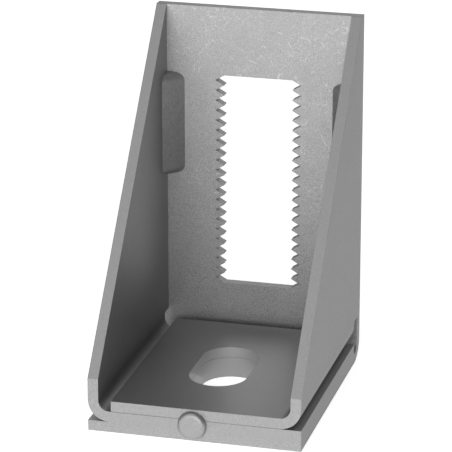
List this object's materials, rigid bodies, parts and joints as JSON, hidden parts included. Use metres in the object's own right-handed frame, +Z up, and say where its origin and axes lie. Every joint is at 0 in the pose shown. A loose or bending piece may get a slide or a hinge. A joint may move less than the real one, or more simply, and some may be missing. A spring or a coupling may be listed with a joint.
{
  "type": "reinforced angle bracket",
  "caption": "Welded steel angle bracket with two gussets, a slotted base of three folded layers and a window with toothed sides in its back.",
  "frame": {"origin": "on the axis of the base slot, in the underside of the base", "axes": "+Z up along the back, +Y from the open front to the back plate, +X to the right seen from the front"},
  "size_m": [0.06, 0.0751, 0.103],
  "materials": {
    "zinc_sheet": "zinc-coated sheet, matt, with a fine mottle",
    "weld_metal": "zinc-coated weld, matt and smooth"
  },
  "bodies": {
    "root": {"angle_plate": "zinc_sheet", "left_gusset": "zinc_sheet", "right_gusset": "zinc_sheet", "left_corner_seam": "weld_metal", "right_corner_seam": "weld_metal", "front_weld_spot": "weld_metal"}
  },
  "joints": []
}
